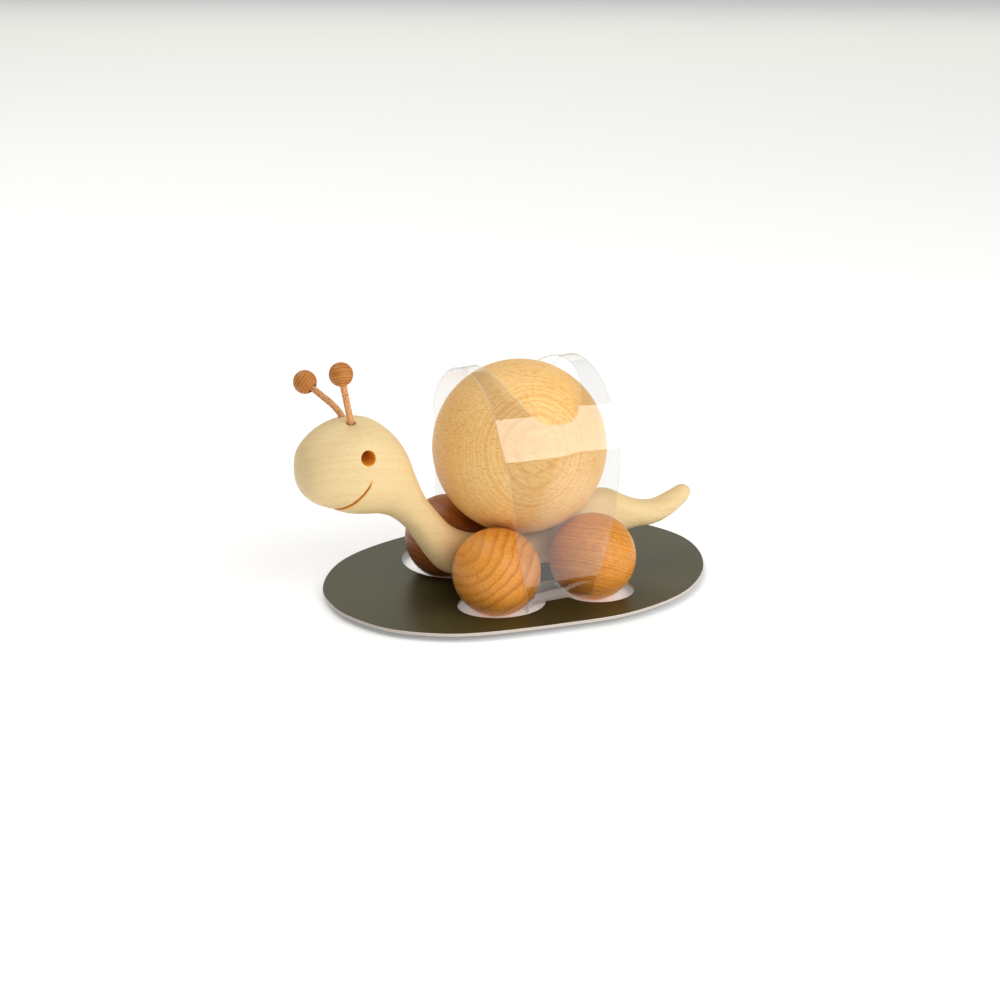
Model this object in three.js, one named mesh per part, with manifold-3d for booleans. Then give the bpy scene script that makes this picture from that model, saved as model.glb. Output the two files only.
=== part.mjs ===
// A wooden snail on four ball wheels, with a large loose ball as its shell, strapped to an oval display card.
//
// Millimetres. +X runs towards the head, +Y to the snail's left, +Z up. The origin lies on the floor,
// midway between the four wheels. The shell ball rests in the hollow between the wheels, so the wheels
// turn it by friction as the toy rolls.

import * as THREE from "three";
import { mergeVertices } from "three/addons/utils/BufferGeometryUtils.js";
import Module from "manifold-3d";

const wasm = await Module();
wasm.setup();

// ---------------------------------------------------------------- driving dimensions

const WHEEL_RADIUS = 15;
const SHELL_RADIUS = 30;
const BEAD_RADIUS = 4;
const WHEELBASE = 36.4;
const TRACK = 40;
const CONTACT_GAP = 0.3; // left between pieces that touch
const HOLLOW_ROOM = 0.8; // between the shell ball and the hollow in the trunk under it

const WHEEL_FLAT_FROM_MIDDLE = 7; // each wheel has a flat next to the trunk, this far from the middle plane
const AXLE_RADIUS = 3;
const AXLE_BORE_RADIUS = 3.4;
const WHEEL_BORE_RADIUS = 3.3;
const AXLE_LENGTH = 49.4;
const WHEEL_BORE_END = 25;

const EYE_BORE_RADIUS = 2.45;
const EYE_PLACE = [61.3, 44]; // X, and Z above the axles
const MOUTH_TOP_WIDTH = 0.5;
const MOUTH_OPEN_WIDTH = 1.8;

const STALK_RADIUS = 1.1;
const STALK_HOLE_RADIUS = 1.5;
const STALK_HOLE_DEPTH = 8;
const STALK_SEAT = 7; // how deep a stalk goes into the head
const BEAD_HOLE_FROM_CENTRE = 0.9;
const STALK_END_FROM_CENTRE = 1.3;
const FEELER_ROOT = [63.5, 4, 54]; // left hole's mouth: X, Y, and Z above the axles
const FEELER_ROOT_DIRECTION = [0.241, 0.187, 0.952];

const CARD_TOP = 3;
const CARD_THICKNESS = 1.1;
const STRAP_THICKNESS = 0.35;
const STRAP_MIDDLE_X = -1.5;
const STRAP_UNDER_CARD = 1.4;
const STRAP_EDGE_RADIUS = 29.3; // of the film's arch, away from the ball
const STRAP_BALL_RADIUS = SHELL_RADIUS + 0.9; // along its middle, where the ball pushes it up
const STRAP_LEAVES_BALL = (83 * Math.PI) / 180; // from straight up
const STRAP_BULGE = 35.6; // half width over the wheels
const STRAP_BULGE_HEIGHT = 15;
const STRAP_OFF_WHEEL = 0.75; // from the wheels to the middle of the film
const STRAP_SLOT = 21.5; // half width where it goes through the card
const STRAP_CURL = { rate: 0.004, most: 7 }; // how much further out its edges stand there
// Its front and rear edges, each as [Z, X]
const STRAP_FRONT_EDGE = [
  [1.4, 10.2], [3, 10.5], [9, 13.3], [16, 15.4], [27, 16.6], [46, 17.8], [53, 18.5], [60, 19.7], [66, 20.2],
];
const STRAP_REAR_EDGE = [
  [1.4, -10.2], [3.5, -11.7], [14.5, -12.2], [19, -14.2], [26.5, -17.2], [35.5, -20], [45, -22.2],
  [53, -23.2],
];
const STRAP_HOLE = { across: 15.5, along: 27.3, power: 2.3 };

const AXLE_HEIGHT = WHEEL_RADIUS;
const SHELL_HEIGHT =
  AXLE_HEIGHT +
  Math.sqrt((SHELL_RADIUS + WHEEL_RADIUS + CONTACT_GAP) ** 2 - (WHEELBASE / 2) ** 2 - (TRACK / 2) ** 2);

const SIDES = { left: 1, right: -1 };
const ENDS = { front: 1, rear: -1 };

// ---------------------------------------------------------------- materials

const wood = (color, roughness) => new THREE.MeshStandardMaterial({ color, roughness, metalness: 0 });

const MATERIALS = {
  maple: wood(0xead9a4, 0.55),
  beech: wood(0xdfb576, 0.5),
  oiledBeech: wood(0xc07a35, 0.42),
  oiledBead: wood(0xb5723f, 0.45),
  leather: wood(0xa86f4a, 0.8),
  card: wood(0x4a4a38, 0.4),
  film: new THREE.MeshStandardMaterial({
    color: 0xf4f4f2,
    roughness: 0.05,
    metalness: 0,
    transparent: true,
    opacity: 0.3,
  }),
};

// ---------------------------------------------------------------- solids

function solidOf(geometry) {
  const bare = geometry.clone();
  bare.deleteAttribute("normal");
  bare.deleteAttribute("uv");
  const merged = mergeVertices(bare, 1e-4);
  return new wasm.Manifold(
    new wasm.Mesh({
      numProp: 3,
      vertProperties: new Float32Array(merged.attributes.position.array),
      triVerts: new Uint32Array(merged.index.array),
    }),
  );
}

function geometryOf(solid) {
  const mesh = solid.getMesh();
  const geometry = new THREE.BufferGeometry();
  geometry.setAttribute("position", new THREE.BufferAttribute(new Float32Array(mesh.vertProperties), 3));
  geometry.setIndex(new THREE.BufferAttribute(new Uint32Array(mesh.triVerts), 1));
  geometry.computeVertexNormals();
  return geometry;
}

function cut(geometry, ...tools) {
  const left = tools.reduce((solid, tool) => solid.subtract(solidOf(tool)), solidOf(geometry));
  return geometryOf(left);
}

// A rod of any length from one point to another.
function rod(radius, start, end, sides = 24) {
  const along = new THREE.Vector3().subVectors(end, start);
  const geometry = new THREE.CylinderGeometry(radius, radius, along.length(), sides);
  const cylinderAxis = new THREE.Vector3(0, 1, 0);
  geometry.applyQuaternion(new THREE.Quaternion().setFromUnitVectors(cylinderAxis, along.normalize()));
  const middle = new THREE.Vector3().addVectors(start, end).multiplyScalar(0.5);
  return geometry.translate(middle.x, middle.y, middle.z);
}

function rodAcross(radius, x, z, fromY, toY, sides = 24) {
  return rod(radius, new THREE.Vector3(x, fromY, z), new THREE.Vector3(x, toY, z), sides);
}

function part(name, geometry, material) {
  const mesh = new THREE.Mesh(geometry, material);
  mesh.name = name;
  return mesh;
}

// ---------------------------------------------------------------- snail body

// Stations from nose to tail: top edge X, Z; bottom edge X, Z; half width. Z is above the axles.
const NOSE = [81.4, 39];
const TAIL_TIP = [-67.6, 11.5];
const STATIONS = [
  [79.6, 45.5, 79.9, 31.3, 6.8],
  [74.8, 50.2, 76.5, 27.4, 10.7],
  [68.5, 53.4, 71.1, 24.9, 13.0],
  [61.5, 54.5, 65.1, 22.5, 14.1],
  [54.5, 52.9, 59.1, 21.4, 13.9],
  [48.6, 48.5, 54.4, 20.8, 12.6],
  [44.0, 42.2, 49.7, 19.0, 10.8],
  [40.7, 33.8, 45.9, 16.3, 9.1],
  [36.8, 24.9, 42.3, 12.7, 7.8],
  [31.7, 17.8, 38.6, 7.3, 7.1],
  [26.1, 11.5, 34.7, 1.3, 6.8],
  [19.7, 7.9, 30.4, -3.6, 6.6],
  [12.5, 6.4, 24.0, -6.3, 6.6],
  [2.0, 5.1, 8.0, -7.0, 6.6],
  [-8.6, 6.2, -10.3, -7.0, 6.6],
  [-17.1, 10.0, -20.6, -6.7, 6.6],
  [-23.1, 14.4, -28.3, -4.5, 6.6],
  [-28.8, 16.6, -33.4, -2.2, 6.6],
  [-34.8, 16.1, -38.6, -0.2, 6.5],
  [-41.0, 13.0, -44.5, 0.9, 6.2],
  [-47.5, 10.2, -49.5, 1.0, 5.8],
  [-54.0, 9.5, -55.0, 2.0, 5.2],
  [-60.0, 11.6, -61.5, 5.0, 4.3],
  [-65.0, 13.5, -66.5, 8.8, 2.8],
];
const RINGS_PER_STATION = 3;
const RING_POINTS = 24;
const SECTION_POWER = 2.3; // 2 is an ellipse; a little more is fuller at the corners

function bodySpline() {
  const place = ([x, z]) => new THREE.Vector3(x, 0, z);
  const top = STATIONS.map(([x, z]) => place([x, z]));
  const bottom = STATIONS.map(([, , x, z]) => place([x, z])).reverse();
  const outline = [place(NOSE), ...top, place(TAIL_TIP), ...bottom];
  const edge = new THREE.CatmullRomCurve3(outline, true, "centripetal");
  const last = STATIONS.length - 1;
  const widths = [-STATIONS[0][4], 0, ...STATIONS.map((s) => s[4]), 0, -STATIONS[last][4]];
  const width = new THREE.SplineCurve(widths.map((w, i) => new THREE.Vector2(i, w)));
  return {
    // u counts stations: 0 at the nose, STATIONS.length + 1 at the tip of the tail
    top: (u) => edge.getPoint(u / outline.length),
    bottom: (u) => edge.getPoint(1 - u / outline.length),
    halfWidth: (u) => width.getPoint((u + 1) / (widths.length - 1)).y,
  };
}

function bodyLoft() {
  const spline = bodySpline();
  const rings = (STATIONS.length + 1) * RINGS_PER_STATION - 1;
  const points = [spline.top(0)];
  for (let ring = 1; ring <= rings; ring++) {
    const u = ring / RINGS_PER_STATION;
    const top = spline.top(u);
    const bottom = spline.bottom(u);
    const middle = new THREE.Vector3().addVectors(top, bottom).multiplyScalar(0.5);
    const up = new THREE.Vector3().subVectors(top, middle);
    for (let i = 0; i < RING_POINTS; i++) {
      const angle = (2 * Math.PI * i) / RING_POINTS;
      const full = (value) => Math.sign(value) * Math.abs(value) ** (2 / SECTION_POWER);
      const point = middle.clone().addScaledVector(up, full(Math.cos(angle)));
      point.y += spline.halfWidth(u) * full(Math.sin(angle));
      points.push(point);
    }
  }
  points.push(spline.top(STATIONS.length + 1));

  const index = [];
  const at = (ring, i) => 1 + (ring - 1) * RING_POINTS + (i % RING_POINTS);
  for (let i = 0; i < RING_POINTS; i++) {
    index.push(0, at(1, i + 1), at(1, i));
    index.push(points.length - 1, at(rings, i), at(rings, i + 1));
    for (let ring = 1; ring < rings; ring++) {
      index.push(at(ring, i), at(ring + 1, i + 1), at(ring + 1, i));
      index.push(at(ring, i), at(ring, i + 1), at(ring + 1, i + 1));
    }
  }
  return new THREE.BufferGeometry().setFromPoints(points).setIndex(index).translate(0, 0, AXLE_HEIGHT);
}

// The saw cut of the mouth: a curved slot right through the head, thin at the cheek and open at the lip.
function mouthCut() {
  const path = new THREE.SplineCurve(
    [[60.5, 36.5], [61.0, 34.7], [62.1, 33.0], [64.5, 30.0], [67.3, 27.1], [70.3, 24.8], [75.5, 21.4]].map(
      ([x, z]) => new THREE.Vector2(x, z),
    ),
  );
  const steps = 14;
  const upper = [];
  const lower = [];
  for (let i = 0; i <= steps; i++) {
    const t = i / steps;
    const point = path.getPoint(t);
    const along = path.getTangent(t);
    const half = (MOUTH_TOP_WIDTH + (MOUTH_OPEN_WIDTH - MOUTH_TOP_WIDTH) * t ** 2) / 2;
    upper.push(new THREE.Vector2(point.x - along.y * half, point.y + along.x * half));
    lower.push(new THREE.Vector2(point.x + along.y * half, point.y - along.x * half));
  }
  const depth = 40;
  const geometry = new THREE.ExtrudeGeometry(new THREE.Shape([...upper, ...lower.reverse()]), {
    depth,
    bevelEnabled: false,
  });
  // the shape's X, Y become X, Z
  return geometry.rotateX(Math.PI / 2).translate(0, depth / 2, AXLE_HEIGHT);
}

function body() {
  const hollow = new THREE.SphereGeometry(SHELL_RADIUS + HOLLOW_ROOM, 48, 32).translate(0, 0, SHELL_HEIGHT);
  const axleBores = Object.values(ENDS).map((end) =>
    rodAcross(AXLE_BORE_RADIUS, (end * WHEELBASE) / 2, AXLE_HEIGHT, -10, 10),
  );
  const eye = rodAcross(EYE_BORE_RADIUS, EYE_PLACE[0], AXLE_HEIGHT + EYE_PLACE[1], -20, 20);
  const stalkHoles = Object.values(SIDES).map((side) => {
    const { mouth, direction } = feelerRoot(side);
    const bottom = mouth.clone().addScaledVector(direction, -STALK_HOLE_DEPTH);
    const above = mouth.clone().addScaledVector(direction, 3);
    return rod(STALK_HOLE_RADIUS, bottom, above, 14);
  });
  const tools = [hollow, ...axleBores, eye, mouthCut(), ...stalkHoles];
  return part("body", cut(bodyLoft(), ...tools), MATERIALS.maple);
}

// ---------------------------------------------------------------- shell, wheels and axles

function shellBall() {
  const mesh = part("shell_ball", new THREE.SphereGeometry(SHELL_RADIUS, 40, 26), MATERIALS.beech);
  mesh.position.z = SHELL_HEIGHT;
  return mesh;
}

// A ball with a flat and a blind bore on the side that faces the trunk.
// side is 1 on the left and -1 on the right.
function wheelGeometry(side) {
  const inward = -side;
  const flat = TRACK / 2 - WHEEL_FLAT_FROM_MIDDLE;
  const bore = WHEEL_BORE_END - TRACK / 2;
  return cut(
    new THREE.SphereGeometry(WHEEL_RADIUS, 28, 18),
    rodAcross(WHEEL_RADIUS, 0, 0, inward * flat, inward * (WHEEL_RADIUS + 1)),
    rodAcross(WHEEL_BORE_RADIUS, 0, 0, inward * WHEEL_RADIUS, -inward * bore),
  );
}

function wheel(end, side) {
  const mesh = part(`wheel_${end}_${side}`, wheelGeometry(SIDES[side]), MATERIALS.oiledBeech);
  mesh.position.set((ENDS[end] * WHEELBASE) / 2, (SIDES[side] * TRACK) / 2, AXLE_HEIGHT);
  return mesh;
}

function axle(end) {
  const geometry = rodAcross(AXLE_RADIUS, 0, 0, -AXLE_LENGTH / 2, AXLE_LENGTH / 2);
  const mesh = part(`axle_${end}`, geometry, MATERIALS.beech);
  mesh.position.set((ENDS[end] * WHEELBASE) / 2, 0, AXLE_HEIGHT);
  return mesh;
}

// ---------------------------------------------------------------- feelers

// The two leather stalks leave the head alike. The left one stands up, and the right one droops outwards.
const FEELER_ENDS = {
  left: { bead: [68, 7.5, 71.8], arrives: [0.241, 0.187, 0.952], pull: 5 },
  right: { bead: [71.4, -16.5, 63.6], arrives: [0.45, -0.8, 0.47], pull: 3 },
};
const STALK_STEPS = 12;

function feelerRoot(side) {
  const [x, y, z] = FEELER_ROOT;
  const [dx, dy, dz] = FEELER_ROOT_DIRECTION;
  return {
    mouth: new THREE.Vector3(x, side * y, AXLE_HEIGHT + z),
    direction: new THREE.Vector3(dx, side * dy, dz).normalize(),
  };
}

function feelerEnd(name) {
  const [x, y, z] = FEELER_ENDS[name].bead;
  return {
    centre: new THREE.Vector3(x, y, AXLE_HEIGHT + z),
    direction: new THREE.Vector3(...FEELER_ENDS[name].arrives).normalize(),
  };
}

function stalk(name) {
  const { mouth, direction } = feelerRoot(SIDES[name]);
  const end = feelerEnd(name);
  const pull = FEELER_ENDS[name].pull;
  const foot = mouth.clone().addScaledVector(direction, -STALK_SEAT);
  const top = end.centre.clone().addScaledVector(end.direction, -STALK_END_FROM_CENTRE);
  const path = new THREE.CurvePath();
  path.add(new THREE.LineCurve3(foot, mouth));
  path.add(
    new THREE.CubicBezierCurve3(
      mouth,
      mouth.clone().addScaledVector(direction, pull),
      top.clone().addScaledVector(end.direction, -2 * pull),
      top,
    ),
  );
  const section = new THREE.Shape().absarc(0, 0, STALK_RADIUS, 0, 2 * Math.PI);
  const options = { steps: STALK_STEPS, curveSegments: 5, extrudePath: path };
  return part(`feeler_stalk_${name}`, new THREE.ExtrudeGeometry(section, options), MATERIALS.leather);
}

function bead(name) {
  const { centre, direction } = feelerEnd(name);
  const outside = centre.clone().addScaledVector(direction, -BEAD_RADIUS - 1);
  const inside = centre.clone().addScaledVector(direction, -BEAD_HOLE_FROM_CENTRE);
  const ball = new THREE.SphereGeometry(BEAD_RADIUS, 18, 12).translate(centre.x, centre.y, centre.z);
  const hole = rod(STALK_HOLE_RADIUS, outside, inside, 12);
  return part(`feeler_bead_${name}`, cut(ball, hole), MATERIALS.oiledBead);
}

// ---------------------------------------------------------------- display card

// The card lies a little off centre under the toy.
const CARD_OUTLINE = [
  [68.3, -2.5], [66.6, 9], [59.4, 24.2], [46.4, 35.2], [35, 40], [6, 44.4], [-20, 45.1], [-47, 34.9],
  [-67, 12], [-73.3, -16], [-59, -44], [-24, -59.3], [14.2, -59.1], [47.3, -45.2], [64.8, -21.8],
];
const CARD_OUTLINE_POINTS = 64;
const CARD_HOLES = {
  left: { front: [16, 19.2, 15.3, 13], rear: [-19.8, 21, 12.7, 12.4], inner: 6.2, outer: 23.6 },
  right: { front: [15.8, -28, 14.6, 18.6], rear: [-19, -22.5, 12.4, 12.4], inner: -14.5, outer: -25 },
};

// One cut-out: an oval round each wheel, given as centre X, Y and half sizes, joined by a straight slot.
function cardHole({ front, rear, inner, outer }) {
  const tall = 4 * CARD_THICKNESS;
  const options = { depth: tall, bevelEnabled: false, curveSegments: 20 };
  const upright = (shape) => {
    const geometry = new THREE.ExtrudeGeometry(shape, options);
    return solidOf(geometry.translate(0, 0, CARD_TOP - tall / 2));
  };
  const oval = (place) => upright(new THREE.Shape().absellipse(...place, 0, 2 * Math.PI));
  const corners = [[rear[0], inner], [front[0], inner], [front[0], outer], [rear[0], outer]];
  const slot = upright(new THREE.Shape(corners.map(([x, y]) => new THREE.Vector2(x, y))));
  return oval(front).add(oval(rear)).add(slot);
}

function displayCard() {
  const corners = CARD_OUTLINE.map(([x, y]) => new THREE.Vector3(x, y, 0));
  const outline = new THREE.CatmullRomCurve3(corners, true, "centripetal").getPoints(CARD_OUTLINE_POINTS);
  const shape = new THREE.Shape(outline.slice(1).map(({ x, y }) => new THREE.Vector2(x, y)));
  const board = new THREE.ExtrudeGeometry(shape, { depth: CARD_THICKNESS, bevelEnabled: false });
  board.translate(0, 0, CARD_TOP - CARD_THICKNESS);
  const cutOut = solidOf(board).subtract(cardHole(CARD_HOLES.left)).subtract(cardHole(CARD_HOLES.right));
  return part("display_card", geometryOf(cutOut), MATERIALS.card);
}

// ---------------------------------------------------------------- clear strap

const STRAP_COLUMNS = 10;
const STRAP_HOLE_POINTS = 48;

function strapRadius(x) {
  const nearness = Math.exp(-(((x - STRAP_MIDDLE_X) / 10) ** 2));
  return STRAP_EDGE_RADIUS + (STRAP_BALL_RADIUS - STRAP_EDGE_RADIUS) * nearness;
}

// A smooth value at z through pairs of [z, value], level past both ends.
function smoothThrough(pairs, z) {
  const above = pairs.findIndex(([height]) => height > z);
  if (above <= 0) return pairs.at(above)[1];
  const slope = (i) => {
    if (i === 0 || i === pairs.length - 1) return 0;
    return (pairs[i + 1][1] - pairs[i - 1][1]) / (pairs[i + 1][0] - pairs[i - 1][0]);
  };
  const [[z0, value0], [z1, value1]] = pairs.slice(above - 1, above + 1);
  const span = z1 - z0;
  const t = (z - z0) / span;
  const ease = t * t * (3 - 2 * t);
  const bend = slope(above - 1) * t * (1 - t) ** 2 - slope(above) * t * t * (1 - t);
  return value0 + (value1 - value0) * ease + span * bend;
}

function strapArch(x, angle) {
  return [strapRadius(x) * Math.sin(angle), SHELL_HEIGHT + strapRadius(x) * Math.cos(angle)];
}

// How far out the film stands at a height below the bulge, where it goes round the wheels and into the slot.
function strapLegOut(x, z) {
  const curl = STRAP_CURL.rate * Math.abs(x - STRAP_MIDDLE_X) ** 3;
  const low = STRAP_SLOT + Math.min(curl, STRAP_CURL.most);
  const rise = THREE.MathUtils.smoothstep(z, CARD_TOP - 1, STRAP_BULGE_HEIGHT);
  const free = low + (STRAP_BULGE - low) * rise;
  const clear = WHEEL_RADIUS + STRAP_OFF_WHEEL;
  const ahead = Math.abs(x) - WHEELBASE / 2;
  const room = clear ** 2 - ahead ** 2 - (z - AXLE_HEIGHT) ** 2;
  return room > 0 ? Math.max(free, TRACK / 2 + Math.sqrt(room)) : free;
}

// Rows of the film round the loop, from the middle of the crown down the left side to below the card.
// Each row gives the height that sets its width, and the place of a point on it as a function of its X.
function strapHalfRows() {
  const rows = [];
  const arcSteps = 12;
  for (let i = 0; i <= arcSteps; i++) {
    const angle = (STRAP_LEAVES_BALL * i) / arcSteps;
    const height = SHELL_HEIGHT + STRAP_EDGE_RADIUS * Math.cos(angle);
    rows.push({ height, at: (x) => strapArch(x, angle) });
  }
  const legSteps = 6;
  const legTop = SHELL_HEIGHT + STRAP_EDGE_RADIUS * Math.cos(STRAP_LEAVES_BALL);
  for (let i = 1; i <= legSteps; i++) {
    const t = i / legSteps;
    const z = THREE.MathUtils.lerp(legTop, STRAP_BULGE_HEIGHT, t);
    const at = (x) => {
      const [y, start] = strapArch(x, STRAP_LEAVES_BALL);
      return [THREE.MathUtils.lerp(y, STRAP_BULGE, t), THREE.MathUtils.lerp(start, STRAP_BULGE_HEIGHT, t)];
    };
    rows.push({ height: z, at });
  }
  for (const z of [12.5, 10, 7.5, 5, 3.2]) {
    rows.push({ height: z, at: (x) => [strapLegOut(x, z), z] });
  }
  const height = STRAP_UNDER_CARD;
  rows.push({ height, at: (x) => [strapLegOut(x, CARD_TOP), height + 0.5] });
  rows.push({ height, at: (x) => [strapLegOut(x, CARD_TOP) - 0.6, height] });
  for (const y of [14, 7]) rows.push({ height, at: () => [y, height] });
  return rows;
}

function clearStrap() {
  const half = strapHalfRows();
  const mirrored = half.slice(1).reverse();
  const rows = [
    ...half.map((row) => ({ ...row, side: 1 })),
    { height: STRAP_UNDER_CARD, at: () => [0, STRAP_UNDER_CARD], side: 1 },
    ...mirrored.map((row) => ({ ...row, side: -1 })),
  ];
  const grid = rows.map(({ height, at, side }) => {
    const rear = smoothThrough(STRAP_REAR_EDGE, height);
    const front = smoothThrough(STRAP_FRONT_EDGE, height);
    return Array.from({ length: STRAP_COLUMNS + 1 }, (_, column) => {
      const x = THREE.MathUtils.lerp(rear, front, column / STRAP_COLUMNS);
      const [y, z] = at(x);
      return new THREE.Vector3(x, side * y, z);
    });
  });
  const count = rows.length;
  const skin = (offset) =>
    grid.map((row, r) =>
      row.map((point, column) => {
        const before = grid[(r + count - 1) % count][column];
        const after = grid[(r + 1) % count][column];
        const left = row[Math.max(column - 1, 0)];
        const right = row[Math.min(column + 1, STRAP_COLUMNS)];
        const along = new THREE.Vector3().subVectors(after, before);
        const across = new THREE.Vector3().subVectors(right, left);
        const normal = new THREE.Vector3().crossVectors(across, along).normalize();
        return point.clone().addScaledVector(normal, offset);
      }),
    );
  const points = [...skin(-STRAP_THICKNESS / 2).flat(), ...skin(STRAP_THICKNESS / 2).flat()];
  const wide = STRAP_COLUMNS + 1;
  const inner = (r, c) => (r % count) * wide + c;
  const outer = (r, c) => count * wide + (r % count) * wide + c;
  const index = [];
  const quad = (a, b, c, d) => index.push(a, b, c, a, c, d);
  for (let r = 0; r < count; r++) {
    for (let c = 0; c < STRAP_COLUMNS; c++) {
      quad(outer(r, c), outer(r, c + 1), outer(r + 1, c + 1), outer(r + 1, c));
      quad(inner(r, c), inner(r + 1, c), inner(r + 1, c + 1), inner(r, c + 1));
    }
    quad(outer(r, 0), outer(r + 1, 0), inner(r + 1, 0), inner(r, 0));
    const last = STRAP_COLUMNS;
    quad(outer(r, last), inner(r, last), inner(r + 1, last), outer(r + 1, last));
  }
  const band = new THREE.BufferGeometry().setFromPoints(points).setIndex(index);

  const { across, along, power } = STRAP_HOLE;
  const rim = Array.from({ length: STRAP_HOLE_POINTS }, (_, i) => {
    const angle = (2 * Math.PI * i) / STRAP_HOLE_POINTS;
    const full = (value) => Math.sign(value) * Math.abs(value) ** (2 / power);
    return new THREE.Vector2(STRAP_MIDDLE_X + across * full(Math.cos(angle)), along * full(Math.sin(angle)));
  });
  const punch = new THREE.ExtrudeGeometry(new THREE.Shape(rim), { depth: 30, bevelEnabled: false });
  return part("clear_strap", cut(band, punch.translate(0, 0, SHELL_HEIGHT + 8)), MATERIALS.film);
}

// ---------------------------------------------------------------- assembly

const snail = new THREE.Group();
snail.add(body(), shellBall());
for (const end of Object.keys(ENDS)) {
  snail.add(axle(end));
  for (const side of Object.keys(SIDES)) snail.add(wheel(end, side));
}
for (const side of Object.keys(SIDES)) snail.add(stalk(side), bead(side));
snail.add(displayCard(), clearStrap());

export default snail;
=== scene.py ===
"""A wooden snail on ball wheels, under a clear strap on an oval display card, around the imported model."""

import math

import bmesh
import bpy
import numpy as np
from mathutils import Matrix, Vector, noise
from mathutils.kdtree import KDTree


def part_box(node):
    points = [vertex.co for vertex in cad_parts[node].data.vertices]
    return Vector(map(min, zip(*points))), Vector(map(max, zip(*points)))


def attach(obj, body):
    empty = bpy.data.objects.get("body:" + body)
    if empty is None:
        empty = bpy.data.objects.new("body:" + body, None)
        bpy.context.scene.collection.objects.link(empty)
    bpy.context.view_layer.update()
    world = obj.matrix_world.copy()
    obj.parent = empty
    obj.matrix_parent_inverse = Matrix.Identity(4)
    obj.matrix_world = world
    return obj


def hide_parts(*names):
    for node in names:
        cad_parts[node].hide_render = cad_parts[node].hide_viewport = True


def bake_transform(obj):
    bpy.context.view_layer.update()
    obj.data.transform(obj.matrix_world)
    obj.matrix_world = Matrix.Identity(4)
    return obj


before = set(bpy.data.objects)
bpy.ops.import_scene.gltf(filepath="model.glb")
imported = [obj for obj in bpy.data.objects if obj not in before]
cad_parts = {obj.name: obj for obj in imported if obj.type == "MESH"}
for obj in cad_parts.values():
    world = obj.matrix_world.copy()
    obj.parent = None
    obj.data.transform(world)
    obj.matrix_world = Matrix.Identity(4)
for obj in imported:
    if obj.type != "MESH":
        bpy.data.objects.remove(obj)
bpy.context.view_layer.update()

MM = 0.001
Y, Z = Vector((0, 1, 0)), Vector((0, 0, 1))
SIDES = {"left": 1, "right": -1}
ENDS = {"front": 1, "rear": -1}


def centre_of(node):
    low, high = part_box(node)
    return (low + high) / 2


def size_of(node):
    low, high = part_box(node)
    return high - low


# Driving sizes that the frame gives, in metres
SHELL_CENTRE = centre_of("shell_ball")
SHELL_RADIUS = size_of("shell_ball").z / 2
WHEEL_RADIUS = size_of("wheel_front_left").z / 2
BEAD_RADIUS = size_of("feeler_bead_left").x / 2
AXLE_HEIGHT = centre_of("axle_front").z
WHEELBASE = centre_of("axle_front").x - centre_of("axle_rear").x
TRACK = 2 * (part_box("wheel_front_left")[1].y - WHEEL_RADIUS)
CARD_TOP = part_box("display_card")[1].z
CARD_THICKNESS = size_of("display_card").z

# Sizes that repeat the CAD source's, in metres
AXLE_BORE_RADIUS = 3.4 * MM
WHEEL_BORE_RADIUS = 3.3 * MM
WHEEL_BORE_END = 25 * MM
EYE_BORE_RADIUS = 2.45 * MM
EYE_X, EYE_Z = 61.3 * MM, AXLE_HEIGHT + 44 * MM
HOLLOW_ROOM = 0.8 * MM  # between the shell ball and the hollow under it
STALK_RADIUS = 1.1 * MM
STALK_HOLE_RADIUS = 1.5 * MM
STALK_HOLE_DEPTH = 8 * MM
STALK_SEAT = 7 * MM
FEELER_ROOT = Vector((63.5, 4, 54)) * MM + Z * AXLE_HEIGHT
FEELER_ROOT_DIRECTION = Vector((0.241, 0.187, 0.952)).normalized()


# ---------------------------------------------------------------- mesh helpers

def new_object(name, points, faces, *materials):
    mesh = bpy.data.meshes.new(name)
    mesh.from_pydata([tuple(p) for p in points], [], faces)
    mesh.update()
    for material in materials:
        mesh.materials.append(material)
    piece = bpy.data.objects.new(name, mesh)
    bpy.context.scene.collection.objects.link(piece)
    return piece


def finish_mesh(piece, smooth_below=40):
    """Faces out, and smooth shading except across edges sharper than smooth_below degrees."""
    made = bmesh.new()
    made.from_mesh(piece.data)
    bmesh.ops.recalc_face_normals(made, faces=made.faces)
    made.to_mesh(piece.data)
    made.free()
    piece.data.polygons.foreach_set("use_smooth", [True] * len(piece.data.polygons))
    piece.data.set_sharp_from_angle(angle=math.radians(smooth_below))


def apply_modifiers(piece):
    graph = bpy.context.evaluated_depsgraph_get()
    mesh = bpy.data.meshes.new_from_object(piece.evaluated_get(graph))
    piece.modifiers.clear()
    piece.data = mesh


def subtract(piece, cutters):
    """Cuts the solids in cutters out of piece, and removes them."""
    for cutter in cutters:
        modifier = piece.modifiers.new("cut", "BOOLEAN")
        modifier.operation = "DIFFERENCE"
        modifier.solver = "EXACT"
        modifier.object = cutter
    apply_modifiers(piece)
    for cutter in cutters:
        bpy.data.objects.remove(cutter)


def ring_faces(rings, count, first=0):
    """Quads between rings of count points each, laid one after another from vertex first."""
    faces = []
    for r in range(rings - 1):
        for i in range(count):
            a = first + r * count + i
            b = first + r * count + (i + 1) % count
            faces.append((a, b, b + count, a + count))
    return faces


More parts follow.
